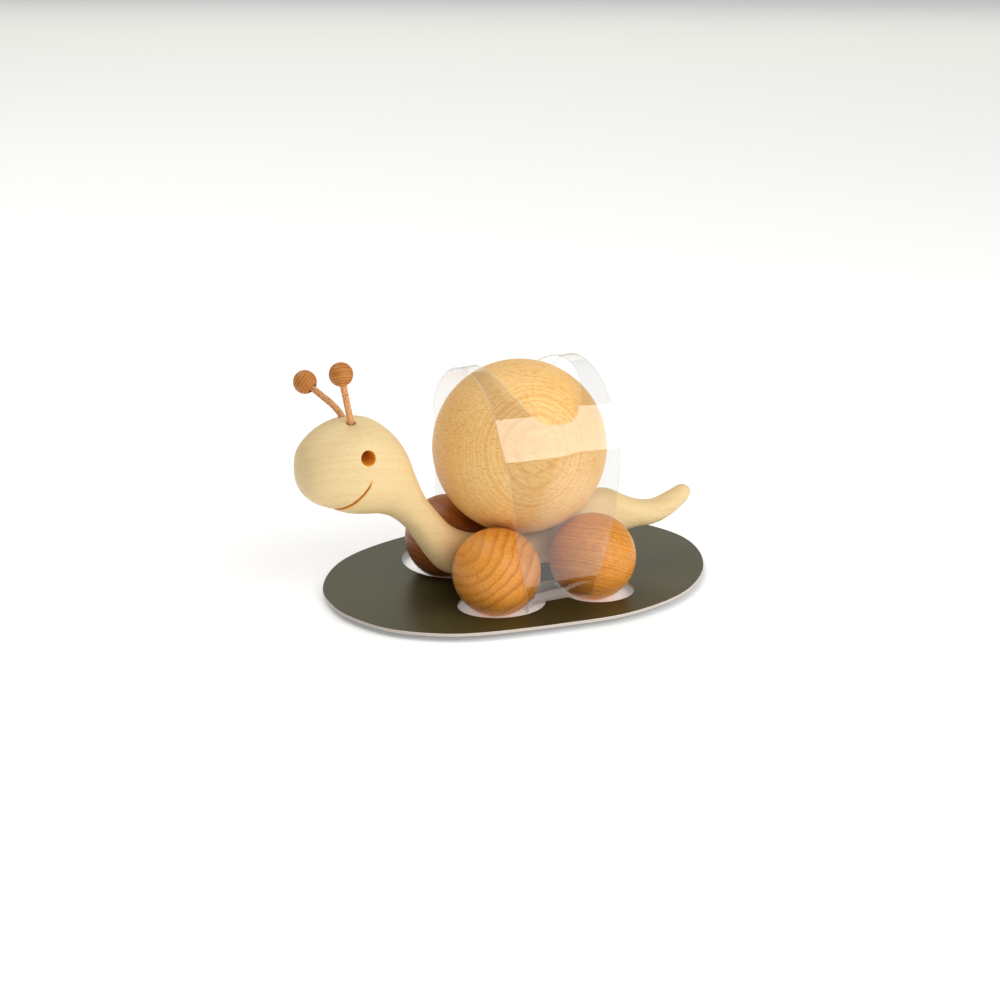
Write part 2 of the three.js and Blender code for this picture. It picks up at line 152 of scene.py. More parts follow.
def turned(name, profile, origin, axis, sides, *materials):
    """A turned solid: profile is (radius, distance along axis) from end to end, both ends on the axis."""
    axis = axis.normalized()
    across = axis.orthogonal().normalized()
    third = axis.cross(across)
    points = [origin + axis * profile[0][1]]
    for radius, along in profile[1:-1]:
        for i in range(sides):
            angle = 2 * math.pi * i / sides
            spoke = across * math.cos(angle) + third * math.sin(angle)
            points.append(origin + axis * along + spoke * radius)
    points.append(origin + axis * profile[-1][1])
    faces = ring_faces(len(profile) - 2, sides, 1)
    last_ring = 1 + (len(profile) - 3) * sides
    for i in range(sides):
        after = (i + 1) % sides
        faces.append((0, 1 + after, 1 + i))
        faces.append((len(points) - 1, last_ring + i, last_ring + after))
    piece = new_object(name, points, faces, *materials)
    finish_mesh(piece)
    return piece


def arc(radius, start, end, steps, x=0.0, y=0.0):
    """Points (x, y) on an arc, with angles in degrees."""
    angles = [math.radians(start + (end - start) * i / steps) for i in range(steps + 1)]
    return [(x + radius * math.cos(a), y + radius * math.sin(a)) for a in angles]


def rod(name, radius, start, end, sides=48):
    length = (end - start).length
    profile = [(0, 0), (radius, 0), (radius, length), (0, length)]
    return turned(name, profile, start, end - start, sides)


def prism(name, outline, low, high, place):
    """A solid from an outline of (u, v) pairs: place(u, v, w) gives the point, for w low and high."""
    count = len(outline)
    points = [place(u, v, low) for u, v in outline] + [place(u, v, high) for u, v in outline]
    faces = [tuple(reversed(range(count))), tuple(range(count, 2 * count))]
    faces += ring_faces(2, count)
    piece = new_object(name, points, faces)
    finish_mesh(piece)
    return piece


# ---------------------------------------------------------------- splines

def centripetal(points, steps):
    """A closed centripetal Catmull-Rom curve through points, with steps points for each span."""
    points = [np.array(p, float) for p in points]
    made = []
    for i in range(len(points)):
        p0, p1, p2, p3 = (points[(i + k - 1) % len(points)] for k in range(4))
        d0, d1, d2 = (np.linalg.norm(b - a) ** 0.5 for a, b in ((p0, p1), (p1, p2), (p2, p3)))
        out = ((p1 - p0) / d0 - (p2 - p0) / (d0 + d1) + (p2 - p1) / d1) * d1
        into = ((p2 - p1) / d1 - (p3 - p1) / (d1 + d2) + (p3 - p2) / d2) * d1
        for step in range(steps):
            t = step / steps
            square, cube = t * t, t * t * t
            made.append(
                p1 * (2 * cube - 3 * square + 1)
                + out * (cube - 2 * square + t)
                + p2 * (3 * square - 2 * cube)
                + into * (cube - square)
            )
    return made


def uniform(points, steps):
    """An open uniform Catmull-Rom curve through points, with steps points for each span and the last one."""
    points = [np.array(p, float) for p in points]
    padded = [points[0], *points, points[-1]]
    made = []
    for i in range(1, len(padded) - 2):
        p0, p1, p2, p3 = padded[i - 1 : i + 3]
        for step in range(steps):
            t = step / steps
            made.append(
                0.5 * (
                    2 * p1
                    + (p2 - p0) * t
                    + (2 * p0 - 5 * p1 + 4 * p2 - p3) * t * t
                    + (3 * p1 - p0 - 3 * p2 + p3) * t * t * t
                )
            )
    return [*made, points[-1]]


# ---------------------------------------------------------------- material helpers

def srgb(red, green, blue):
    """A colour from 0 to 255 values, as the linear values that a shader takes."""
    def linear(value):
        value /= 255
        return value / 12.92 if value <= 0.04045 else ((value + 0.055) / 1.055) ** 2.4
    return (linear(red), linear(green), linear(blue), 1)


class Graph:
    """A new material, with short calls for its nodes.

    An input is a number, a colour or another node's socket.
    """

    def __init__(self, name):
        self.material = bpy.data.materials.new(name)
        self.material.use_nodes = True
        self.tree = self.material.node_tree
        self.tree.nodes.clear()
        self.output = self.tree.nodes.new("ShaderNodeOutputMaterial")

    def node(self, kind, inputs=None, **settings):
        made = self.tree.nodes.new("ShaderNode" + kind)
        for key, value in settings.items():
            setattr(made, key, value)
        for key, value in (inputs or {}).items():
            if isinstance(value, bpy.types.NodeSocket):
                self.tree.links.new(value, made.inputs[key])
            else:
                made.inputs[key].default_value = value
        return made

    def math(self, operation, *values, clamp=False):
        made = self.node("Math", dict(enumerate(values)), operation=operation, use_clamp=clamp)
        return made.outputs[0]

    def centred(self, value, weight):
        """weight times value, about 0 where value is a noise about 0.5."""
        return self.math("MULTIPLY", self.math("SUBTRACT", value, 0.5), weight)

    def vector(self, operation, *values):
        made = self.node("VectorMath", dict(enumerate(values)), operation=operation)
        return made.outputs["Value" if operation in ("DOT_PRODUCT", "LENGTH") else "Vector"]

    def ramp(self, value, *stops):
        """Maps value through stops of (place, level)."""
        made = self.node("ValToRGB", {0: value})
        elements = made.color_ramp.elements
        while len(elements) < len(stops):
            elements.new(0.5)
        for element, (place, level) in zip(elements, stops):
            element.position = place
            element.color = (level, level, level, 1)
        return made.outputs[0]

    def noise(self, vector, scale, detail=2.0, roughness=0.5):
        settings = {"Vector": vector, "Scale": scale, "Detail": detail, "Roughness": roughness}
        return self.node("TexNoise", settings).outputs["Fac"]

    def mix(self, share, first, second):
        return self.node("Mix", {0: share, 6: first, 7: second}, data_type="RGBA").outputs[2]

    def place(self):
        return self.node("TexCoord").outputs["Object"]

    def bump(self, height, strength, distance):
        settings = {"Height": height, "Strength": strength, "Distance": distance}
        return self.node("Bump", settings).outputs[0]

    def shader(self, **inputs):
        """The Principled shader, with its inputs named in lower case with underscores."""
        names = {key.replace("_", " ").title().replace("Ior", "IOR"): value for key, value in inputs.items()}
        made = self.node("BsdfPrincipled", names)
        self.tree.links.new(made.outputs[0], self.output.inputs[0])
        return self.material


# ---------------------------------------------------------------- materials
# The scale of a noise is in features per metre, where its vector is a place

# A wood's rays are thin ribbons out from the pith: their height along the fibres, width round the pith and
# length outwards, and the depth of wood over which their width is counted on one radius
RAY_HEIGHT, RAY_WIDTH, RAY_LENGTH, RAY_BAND = 1.9 * MM, 0.26 * MM, 2.2 * MM, 4 * MM
STREAK_LENGTH, STREAK_WIDTH = 7 * MM, 0.45 * MM
RING_PROFILE = ((0.0, 0.08), (0.45, 0.22), (0.86, 1.0), (0.93, 0.85), (1.0, 0.08))  # from early to late wood


def wood(name, early, late, pith, fibre, ring, rings=0.6, streaks=0.25, rays=0.4, rough=0.42, cuts=None):
    """Wood as it grows: rings round a pith line, streaks along the fibres and rays out from the pith.

    early and late are the ring colours, pith a point on the pith line, ring a ring's thickness in metres,
    and rings, streaks and rays say how strongly each shows. cuts is the colour of sawn and drilled faces,
    which the mesh marks in its attribute "cut".
    """
    g = Graph(name)
    fibre = fibre.normalized()
    across = fibre.orthogonal().normalized()
    third = fibre.cross(across)
    place = g.place()
    wobble = g.node("TexNoise", {"Vector": place, "Scale": 60.0, "Detail": 2.0}).outputs["Color"]
    wobble = g.vector("SUBTRACT", wobble, (0.5, 0.5, 0.5))
    wobble = g.node("VectorMath", {0: wobble, "Scale": 1.6 * ring}, operation="SCALE").outputs[0]
    bent = g.vector("ADD", place, wobble)
    from_pith = g.vector("SUBTRACT", bent, tuple(pith))

    radius = g.vector("LENGTH", g.vector("CROSS_PRODUCT", from_pith, tuple(fibre)))
    turns = g.math("DIVIDE", radius, ring)
    uneven = g.node("TexNoise", {"W": turns, "Scale": 0.6, "Detail": 1.0}, noise_dimensions="1D")
    turns = g.math("ADD", turns, g.math("MULTIPLY", uneven.outputs["Fac"], 1.4))
    growth = g.ramp(g.math("FRACT", turns), *RING_PROFILE)
    growth = g.math("MULTIPLY", growth, g.math("ADD", g.noise(place, 45.0, 1.0), 0.45))

    along, beside, above = (g.vector("DOT_PRODUCT", bent, tuple(axis)) for axis in (fibre, across, third))
    streak_parts = {
        0: g.math("DIVIDE", along, STREAK_LENGTH),
        1: g.math("DIVIDE", beside, STREAK_WIDTH),
        2: g.math("DIVIDE", above, STREAK_WIDTH),
    }
    streak = g.noise(g.node("CombineXYZ", streak_parts).outputs[0], 1.0, 3.0, 0.55)

    aside = (g.vector("DOT_PRODUCT", from_pith, tuple(axis)) for axis in (across, third))
    band = g.math("ADD", g.math("FLOOR", g.math("DIVIDE", radius, RAY_BAND)), 0.5)
    round_pith = g.math("MULTIPLY", g.math("ARCTAN2", *aside), g.math("MULTIPLY", band, RAY_BAND))
    ray_parts = {
        0: g.math("DIVIDE", along, RAY_HEIGHT),
        1: g.math("DIVIDE", round_pith, RAY_WIDTH),
        2: g.math("DIVIDE", radius, RAY_LENGTH),
    }
    ray = g.noise(g.node("CombineXYZ", ray_parts).outputs[0], 1.0, 1.0)
    ray = g.ramp(ray, (0.48, 0.0), (0.72, 1.0))

    shade = g.math("MULTIPLY", growth, rings)
    shade = g.math("ADD", shade, g.centred(streak, 2 * streaks))
    shade = g.math("ADD", shade, g.centred(g.noise(place, 28.0, 2.0), 0.5), clamp=True)
    ray_colour = (0.92 * late[0], 0.74 * late[1], 0.4 * late[2], 1)
    colour = g.mix(g.math("MULTIPLY", ray, rays), g.mix(shade, early, late), ray_colour)
    if cuts:
        marked = g.node("Attribute", attribute_name="cut").outputs["Fac"]
        colour = g.mix(marked, colour, cuts)
    height = g.math("SUBTRACT", g.math("MULTIPLY", streak, 0.5), g.math("MULTIPLY", ray, 0.7))
    roughness = g.math("ADD", g.math("MULTIPLY", streak, 0.16), rough - 0.08)
    bump = g.bump(height, 0.35, 0.06 * MM)
    return g.shader(base_color=colour, roughness=roughness, normal=bump, specular_ior_level=0.3)


def leather():
    g = Graph("leather_cord")
    place = g.place()
    patches = g.noise(place, 900.0, 3.0)
    pores = g.ramp(g.noise(place, 1500.0, 1.0), (0.54, 0.0), (0.66, 1.0))
    colour = g.mix(patches, srgb(194, 126, 72), srgb(236, 178, 120))
    colour = g.mix(g.math("MULTIPLY", pores, 0.7), colour, srgb(110, 58, 38))
    height = g.math("SUBTRACT", patches, pores)
    return g.shader(base_color=colour, roughness=0.62, normal=g.bump(height, 0.5, 0.06 * MM))


def card_face():
    g = Graph("card_face")
    place = g.place()
    grain = g.noise(place, 1400.0, 3.0)
    clouds = g.noise(place, 30.0, 2.0)
    shade = g.math("ADD", g.math("MULTIPLY", grain, 0.9), g.math("MULTIPLY", clouds, 0.3))
    colour = g.mix(shade, srgb(32, 30, 10), srgb(66, 63, 30))
    roughness = g.math("ADD", g.math("MULTIPLY", grain, 0.16), 0.28)
    return g.shader(base_color=colour, roughness=roughness, normal=g.bump(grain, 0.12, 0.03 * MM))


def card_edge():
    """The cut edge of layered board: plies in Z, with torn fibres."""
    g = Graph("card_edge")
    place = g.place()
    height = g.node("SeparateXYZ", {0: place}).outputs["Z"]
    torn = g.noise(place, 700.0, 3.0)
    level = g.math("DIVIDE", g.math("SUBTRACT", CARD_TOP, height), CARD_THICKNESS)
    level = g.math("ADD", level, g.centred(torn, 0.16))
    pale = ((0.0, 0.05), (0.1, 0.95), (0.42, 0.8), (0.52, 0.42), (0.62, 0.85), (0.9, 0.95), (1.0, 0.5))
    plies = g.ramp(level, *pale)
    colour = g.mix(plies, srgb(88, 60, 44), srgb(214, 203, 192))
    bump = g.bump(g.math("ADD", plies, torn), 0.6, 0.1 * MM)
    return g.shader(base_color=colour, roughness=0.8, normal=bump)


FILM_FACE_ON_GLOSS, FILM_GRAZING_GLOSS = 0.05, 0.85


def clear_film():
    """Each face of the film reflects by Schlick's rule and lets the rest straight through."""
    g = Graph("clear_film")
    facing = g.node("LayerWeight", {"Blend": 0.5}).outputs["Facing"]
    ripple = g.noise(g.place(), 55.0, 1.0)
    bump = g.bump(ripple, 0.25, 0.5 * MM)
    gloss = g.math("MULTIPLY_ADD", g.math("POWER", facing, 5.0), FILM_GRAZING_GLOSS, FILM_FACE_ON_GLOSS)
    clear = g.node("BsdfTransparent", {"Color": (0.965, 0.962, 0.955, 1)}).outputs[0]
    mirror = g.node("BsdfGlossy", {"Color": (1, 1, 1, 1), "Roughness": 0.03, "Normal": bump}).outputs[0]
    mixed = g.node("MixShader", {0: gloss, 1: clear, 2: mirror}).outputs[0]
    g.tree.links.new(mixed, g.output.inputs[0])
    return g.material


def film_edge():
    g = Graph("film_edge")
    scuffs = g.noise(g.place(), 900.0, 2.0)
    alpha = g.math("MULTIPLY_ADD", scuffs, 0.5, 0.35)
    return g.shader(base_color=srgb(240, 240, 238), roughness=0.3, alpha=alpha)


# ---------------------------------------------------------------- snail body

# Stations from nose to tail, in mm: top edge X, Z; bottom edge X, Z; half width. Z is above the axles.
NOSE = (81.4, 39)
TAIL_TIP = (-67.6, 11.5)
STATIONS = [
    (79.6, 45.5, 79.9, 31.3, 6.8),
    (74.8, 50.2, 76.5, 27.4, 10.7),
    (68.5, 53.4, 71.1, 24.9, 13.0),
    (61.5, 54.5, 65.1, 22.5, 14.1),
    (54.5, 52.9, 59.1, 21.4, 13.9),
    (48.6, 48.5, 54.4, 20.8, 12.6),
    (44.0, 42.2, 49.7, 19.0, 10.8),
    (40.7, 33.8, 45.9, 16.3, 9.1),
    (36.8, 24.9, 42.3, 12.7, 7.8),
    (31.7, 17.8, 38.6, 7.3, 7.1),
    (26.1, 11.5, 34.7, 1.3, 6.8),
    (19.7, 7.9, 30.4, -3.6, 6.6),
    (12.5, 6.4, 24.0, -6.3, 6.6),
    (2.0, 5.1, 8.0, -7.0, 6.6),
    (-8.6, 6.2, -10.3, -7.0, 6.6),
    (-17.1, 10.0, -20.6, -6.7, 6.6),
    (-23.1, 14.4, -28.3, -4.5, 6.6),
    (-28.8, 16.6, -33.4, -2.2, 6.6),
    (-34.8, 16.1, -38.6, -0.2, 6.5),
    (-41.0, 13.0, -44.5, 0.9, 6.2),
    (-47.5, 10.2, -49.5, 1.0, 5.8),
    (-54.0, 9.5, -55.0, 2.0, 5.2),
    (-60.0, 11.6, -61.5, 5.0, 4.3),
    (-65.0, 13.5, -66.5, 8.8, 2.8),
]
RINGS_PER_STATION = 10
RING_POINTS = 72
SECTION_POWER = 2.3
MOUTH_TOP_WIDTH, MOUTH_OPEN_WIDTH = 0.5, 1.8
MOUTH_SHADE = 0.75  # how much of the cut wood's colour it shows
MOUTH = [(60.5, 36.5), (61.0, 34.7), (62.1, 33.0), (64.5, 30.0), (67.3, 27.1), (70.3, 24.8), (75.5, 21.4)]
BODY_VOXEL = 0.27 * MM


def body_loft(material):
    """The body before its cuts: rings of points from the nose to the tip of the tail."""
    top = [(x, z) for x, z, *_ in STATIONS]
    bottom = [(x, z) for *_, x, z, _ in STATIONS]
    edge = centripetal([NOSE, *top, TAIL_TIP, *reversed(bottom)], RINGS_PER_STATION)
    half = [station[4] for station in STATIONS]
    width = uniform([(-half[0],), (0,), *((w,) for w in half), (0,), (-half[-1],)], RINGS_PER_STATION)
    rings = (len(STATIONS) + 1) * RINGS_PER_STATION
    points = [Vector((NOSE[0], 0, NOSE[1]))]
    for ring in range(1, rings):
        upper, lower = edge[ring], edge[-ring]
        middle = (upper + lower) / 2
        up = upper - middle
        reach = float(width[ring + RINGS_PER_STATION][0])
        for i in range(RING_POINTS):
            angle = 2 * math.pi * i / RING_POINTS
            rise, side = (
                math.copysign(abs(value) ** (2 / SECTION_POWER), value)
                for value in (math.cos(angle), math.sin(angle))
            )
            points.append(Vector((middle[0] + up[0] * rise, reach * side, middle[1] + up[1] * rise)))
    points.append(Vector((TAIL_TIP[0], 0, TAIL_TIP[1])))
    faces = ring_faces(rings - 1, RING_POINTS, 1)
    last = 1 + (rings - 2) * RING_POINTS
    for i in range(RING_POINTS):
        after = (i + 1) % RING_POINTS
        faces.append((0, 1 + after, 1 + i))
        faces.append((len(points) - 1, last + i, last + after))
    piece = new_object("snail_body", [p * MM + Z * AXLE_HEIGHT for p in points], faces, material)
    finish_mesh(piece)
    return piece


def mouth_path():
    """The mouth's centre line in XZ, and half its width at each point, in metres."""
    line = np.array(uniform(MOUTH, 12)) * MM + np.array((0, AXLE_HEIGHT))
    share = np.linspace(0, 1, len(line))
    half = (MOUTH_TOP_WIDTH + (MOUTH_OPEN_WIDTH - MOUTH_TOP_WIDTH) * share**2) / 2 * MM
    return line, half


def mouth_cutter():
    line, half = mouth_path()
    along = np.gradient(line, axis=0)
    along /= np.linalg.norm(along, axis=1)[:, None]
    side = np.stack([-along[:, 1], along[:, 0]], axis=1) * half[:, None]
    outline = [*(line + side), *reversed(line - side)]
    return prism("cut_mouth", outline, -20 * MM, 20 * MM, lambda x, z, y: Vector((x, y, z)))


def feeler_root(side):
    """Where a feeler leaves the head, and which way. side is 1 for left and -1 for right."""
    mirror = Vector((1, side, 1))
    return FEELER_ROOT * mirror, FEELER_ROOT_DIRECTION * mirror


def mark_cuts(mesh):
    """Sets the attribute "cut" on the drilled and sawn faces: the eye, the mouth and the axle bores."""
    places = np.empty(len(mesh.vertices) * 3)
    mesh.vertices.foreach_get("co", places)
    places = places.reshape(-1, 3)
    soft = 0.35 * MM

    def inside(distance, radius):
        return np.clip((radius + soft - distance) / soft, 0, 1)

    def bore(x, z, radius):
        return inside(np.hypot(places[:, 0] - x, places[:, 2] - z), radius)

    cut = bore(EYE_X, EYE_Z, EYE_BORE_RADIUS)
    for end in ENDS.values():
        cut = np.maximum(cut, bore(end * WHEELBASE / 2, AXLE_HEIGHT, AXLE_BORE_RADIUS))
    line, half = mouth_path()
    for (x, z), reach in zip(line, half):
        cut = np.maximum(cut, MOUTH_SHADE * bore(x, z, reach))
    attribute = mesh.attributes.new("cut", "FLOAT", "POINT")
    attribute.data.foreach_set("value", cut.astype(np.float32))


def snail_body(material):
    piece = body_loft(material)
    seat = SHELL_RADIUS + HOLLOW_ROOM
    cutters = [turned("cut_seat", [(0, -seat), *arc(seat, -87, 87, 58), (0, seat)], SHELL_CENTRE, Y, 120)]
    through_trunk, through_head = Y * 10 * MM, Y * 20 * MM
    for end in ENDS.values():
        place = Vector((end * WHEELBASE / 2, 0, AXLE_HEIGHT))
        cutters.append(rod("cut_axle", AXLE_BORE_RADIUS, place - through_trunk, place + through_trunk))
    eye = Vector((EYE_X, 0, EYE_Z))
    cutters.append(rod("cut_eye", EYE_BORE_RADIUS, eye - through_head, eye + through_head, 64))
    cutters.append(mouth_cutter())
    for side in SIDES.values():
        root, direction = feeler_root(side)
        bottom, above = root - direction * STALK_HOLE_DEPTH, root + direction * 3 * MM
        cutters.append(rod("cut_stalk", STALK_HOLE_RADIUS, bottom, above))
    subtract(piece, cutters)
    remesh = piece.modifiers.new("even", "REMESH")
    remesh.mode = "VOXEL"
    remesh.voxel_size = BODY_VOXEL
    sand = piece.modifiers.new("sand", "SMOOTH")
    sand.factor = 0.5
    sand.iterations = 5
    apply_modifiers(piece)
    mark_cuts(piece.data)
    finish_mesh(piece, 80)
    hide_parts("body")
    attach(piece, "snail")


# ---------------------------------------------------------------- balls and axles

def shell_ball(material):
    """A turned ball, a little out of round as it dries."""
    profile = [(0, -SHELL_RADIUS), *arc(SHELL_RADIUS, -89, 89, 150), (0, SHELL_RADIUS)]
    piece = turned("shell", profile, SHELL_CENTRE, Vector((0.3, 0.1, 0.95)), 256, material)
    for vertex in piece.data.vertices:
        outward = vertex.co - SHELL_CENTRE
        uneven = noise.noise(outward * 40) * 0.06 * MM - 0.05 * MM
        vertex.co += outward.normalized() * uneven
    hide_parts("shell_ball")
    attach(piece, "shell")


def wheel_centre(end, side):
    return Vector((ENDS[end] * WHEELBASE / 2, SIDES[side] * TRACK / 2, AXLE_HEIGHT))


def wheel(end, side, material):
    """A turned ball with a flat and a blind bore on the side next to the trunk."""
    node = f"wheel_{end}_{side}"
    outward = SIDES[side]
    flat = -(TRACK / 2 - abs(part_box(node)[0 if outward > 0 else 1].y))
    flat_radius = math.sqrt(WHEEL_RADIUS**2 - flat**2)
    edge, chamfer = 0.6 * MM, 0.4 * MM
    meets = math.degrees(math.asin(flat / WHEEL_RADIUS))
    bore_end = WHEEL_BORE_END - TRACK / 2
    profile = [
        (0, WHEEL_RADIUS),
        *arc(WHEEL_RADIUS, 89, meets + 3, 90),
        (flat_radius - 0.15 * edge, flat + 0.35 * edge),
        (flat_radius - 0.6 * edge, flat + 0.06 * edge),
        (flat_radius - edge, flat),
        (WHEEL_BORE_RADIUS + chamfer, flat),
        (WHEEL_BORE_RADIUS, flat + chamfer),
        (WHEEL_BORE_RADIUS, bore_end),
        (0, bore_end),
    ]
    place = wheel_centre(end, side)
    piece = turned(f"{end}_{side}_wheel", profile, place, Y * outward, 160, material)
    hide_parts(node)
    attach(piece, f"{end}_wheels")


def axle(end, material):
    node = f"axle_{end}"
    radius, half = size_of(node).z / 2, size_of(node).y / 2
    chamfer = 0.5 * MM
    profile = [
        (0, -half), (radius - chamfer, -half), (radius, chamfer - half),
        (radius, half - chamfer), (radius - chamfer, half), (0, half),
    ]
    piece = turned(f"{end}_axle", profile, centre_of(node), Y, 64, material)
    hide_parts(node)
    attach(piece, f"{end}_wheels")


# ---------------------------------------------------------------- feelers

# The way each cord runs into its bead, and how far along that way its curve is pulled
FEELERS = {
    "left": {"arrives": Vector((0.241, 0.187, 0.952)).normalized(), "pull": 5 * MM},
    "right": {"arrives": Vector((0.45, -0.8, 0.47)).normalized(), "pull": 3 * MM},
}
BEAD_PLACES = {"left": Vector((68, 7.5, 71.8)), "right": Vector((71.4, -16.5, 63.6))}  # mm from the axles
BEAD_HOLE_FROM_CENTRE = 0.9 * MM
STALK_END_FROM_CENTRE = 1.3 * MM
STALK_STEPS, STALK_SIDES = 110, 28


def bead_centre(name):
    return BEAD_PLACES[name] * MM + Z * AXLE_HEIGHT


def stalk(name, material):
    """A leather cord, from its seat in the head along a curve into the bead."""
    root, direction = feeler_root(SIDES[name])
    arrives, pull = FEELERS[name]["arrives"], FEELERS[name]["pull"]
    top = bead_centre(name) - arrives * STALK_END_FROM_CENTRE
    foot = root - direction * STALK_SEAT
    path = [foot.lerp(root, i / 20) for i in range(20)]
    handles = [root, root + direction * pull, top - arrives * 2 * pull, top]
    for i in range(STALK_STEPS + 1):
        t = i / STALK_STEPS
        weights = ((1 - t) ** 3, 3 * t * (1 - t) ** 2, 3 * t * t * (1 - t), t**3)
        path.append(sum((p * w for p, w in zip(handles, weights)), Vector()))
    across = direction.orthogonal().normalized()
    points = []
    for i, place in enumerate(path):
        tangent = (path[min(i + 1, len(path) - 1)] - path[max(i - 1, 0)]).normalized()
        across = (across - tangent * across.dot(tangent)).normalized()
        third = tangent.cross(across)
        for k in range(STALK_SIDES):
            angle = 2 * math.pi * k / STALK_SIDES
            spoke = across * math.cos(angle) + third * math.sin(angle)
            uneven = 1 + 0.05 * noise.noise((place + spoke * STALK_RADIUS) * 700)
            points.append(place + spoke * STALK_RADIUS * uneven)
    faces = ring_faces(len(path), STALK_SIDES)
    faces += [tuple(range(STALK_SIDES)), tuple(range(len(points) - STALK_SIDES, len(points)))]
    piece = new_object(f"{name}_stalk", points, faces, material)
    finish_mesh(piece)
    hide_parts(f"feeler_stalk_{name}")
    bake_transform(piece)
    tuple(root)


def bead(name, material):
    """A turned ball with a blind hole for the end of its cord."""
    arrives = FEELERS[name]["arrives"]
    rim = math.degrees(math.acos(STALK_HOLE_RADIUS / BEAD_RADIUS))
    hole_mouth = -BEAD_RADIUS * math.sin(math.radians(rim))
    profile = [
        (0, BEAD_RADIUS),
        *arc(BEAD_RADIUS, 88, 4 - rim, 60),
        (STALK_HOLE_RADIUS + 0.1 * MM, hole_mouth + 0.04 * MM),
        (STALK_HOLE_RADIUS, hole_mouth + 0.25 * MM),
        (STALK_HOLE_RADIUS, -BEAD_HOLE_FROM_CENTRE),
        (0, -BEAD_HOLE_FROM_CENTRE),
    ]
    piece = turned(f"{name}_feeler_bead", profile, bead_centre(name), arrives, 96, material)
    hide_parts(f"feeler_bead_{name}")
    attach(piece, f"{name}_bead")


# ---------------------------------------------------------------- display card

# In mm, as X and Y
CARD_OUTLINE = [
    (68.3, -2.5), (66.6, 9), (59.4, 24.2), (46.4, 35.2), (35, 40), (6, 44.4), (-20, 45.1), (-47, 34.9),
    (-67, 12), (-73.3, -16), (-59, -44), (-24, -59.3), (14.2, -59.1), (47.3, -45.2), (64.8, -21.8),
]
# In mm, for each side: the front and rear ovals, as X, Y, half length and half width, and the Y of the
# slot's long sides
CARD_HOLES = {
    "left": [(16, 19.2, 15.3, 13), (-19.8, 21, 12.7, 12.4), 6.2, 23.6],
    "right": [(15.8, -28, 14.6, 18.6), (-19, -22.5, 12.4, 12.4), -14.5, -25],
}
CARD_EDGE_ROUND = 0.14 * MM


def upright(x, y, z):
    return Vector((x, y, z))


def card_cutters(front, rear, inner, outer):
    """Solids that cut one hole: an oval round each wheel, and the straight slot between them."""
    low, high = CARD_TOP - 8 * MM, CARD_TOP + 8 * MM
    made = []
    for x, y, across, along in (front, rear):
        oval = [(x * MM + u * across * MM, y * MM + v * along * MM) for u, v in arc(1, 0, 360, 120)[:-1]]
        made.append(prism("cut_oval", oval, low, high, upright))
    slot = [(rear[0] * MM, inner * MM), (front[0] * MM, inner * MM)]
    slot += [(front[0] * MM, outer * MM), (rear[0] * MM, outer * MM)]
    made.append(prism("cut_slot", slot, low, high, upright))
    return made


def display_card(face, edge):
    outline = [point * MM for point in centripetal(CARD_OUTLINE, 26)]
    piece = prism("card", outline, CARD_TOP - CARD_THICKNESS, CARD_TOP, upright)
    piece.data.materials.append(face)
    piece.data.materials.append(edge)
    subtract(piece, [cutter for hole in CARD_HOLES.values() for cutter in card_cutters(*hole)])
    soften = piece.modifiers.new("soften", "BEVEL")
    soften.width = CARD_EDGE_ROUND
    soften.segments = 3
    soften.limit_method = "ANGLE"
    soften.angle_limit = math.radians(60)
    soften.use_clamp_overlap = True
    apply_modifiers(piece)
    finish_mesh(piece, 50)
    for polygon in piece.data.polygons:
        level = abs(polygon.normal.z)
        polygon.material_index = 0 if level > 0.6 else 1
        polygon.use_smooth = level < 0.999
    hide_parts("display_card")
    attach(piece, "snail")


# ---------------------------------------------------------------- clear strap

# It goes over the ball at one radius along its middle and another along its edges, straight down to a
# bulge beside the wheels, in through the card's slots and across under the card
STRAP_THICKNESS = 0.35 * MM
STRAP_MIDDLE_X = -1.5 * MM
STRAP_BALL_RADIUS = SHELL_RADIUS + 0.9 * MM
STRAP_EDGE_RADIUS = 29.3 * MM
STRAP_CROWN_WIDTH = 10 * MM
STRAP_LEAVES_BALL = math.radians(83)
STRAP_BULGE = 35.6 * MM
STRAP_BULGE_HEIGHT = 15 * MM
STRAP_OFF_WHEEL = 0.75 * MM
STRAP_SLOT = 21.5 * MM
STRAP_CURL_RATE, STRAP_CURL_MOST = 0.004, 7  # how much further out its edges stand in the slots, in mm
STRAP_UNDER_CARD = 1.4 * MM
# Its front and rear edges, each as Z and X in mm
STRAP_FRONT_EDGE = [
    (1.4, 10.2), (3, 10.5), (9, 13.3), (16, 15.4), (27, 16.6), (46, 17.8), (53, 18.5), (60, 19.7),
    (66, 20.2),
]
STRAP_REAR_EDGE = [
    (1.4, -10.2), (3.5, -11.7), (14.5, -12.2), (19, -14.2), (26.5, -17.2), (35.5, -20), (45, -22.2),
    (53, -23.2),
]
STRAP_HOLE_ACROSS = 15.5 * MM
STRAP_HOLE_ALONG = 27.3 * MM
STRAP_HOLE_POWER = 2.3
STRAP_COLUMNS = 48
STRAP_ARC_ROWS, STRAP_LEG_ROWS, STRAP_FOOT_ROWS = 70, 24, 24


def smooth_through(pairs, height):
    """A smooth value in metres at a height, through pairs of (height, value) in mm, level past both ends."""
    heights, values = np.array(pairs).T * MM
    if not heights[0] < height < heights[-1]:
        return values[0] if height <= heights[0] else values[-1]
    slopes = np.zeros(len(pairs))
    slopes[1:-1] = (values[2:] - values[:-2]) / (heights[2:] - heights[:-2])
    i = int(np.searchsorted(heights, height, "right")) - 1
    span = heights[i + 1] - heights[i]
    t = (height - heights[i]) / span
    bend = slopes[i] * t * (1 - t) ** 2 - slopes[i + 1] * t * t * (1 - t)
    return values[i] + (values[i + 1] - values[i]) * t * t * (3 - 2 * t) + span * bend


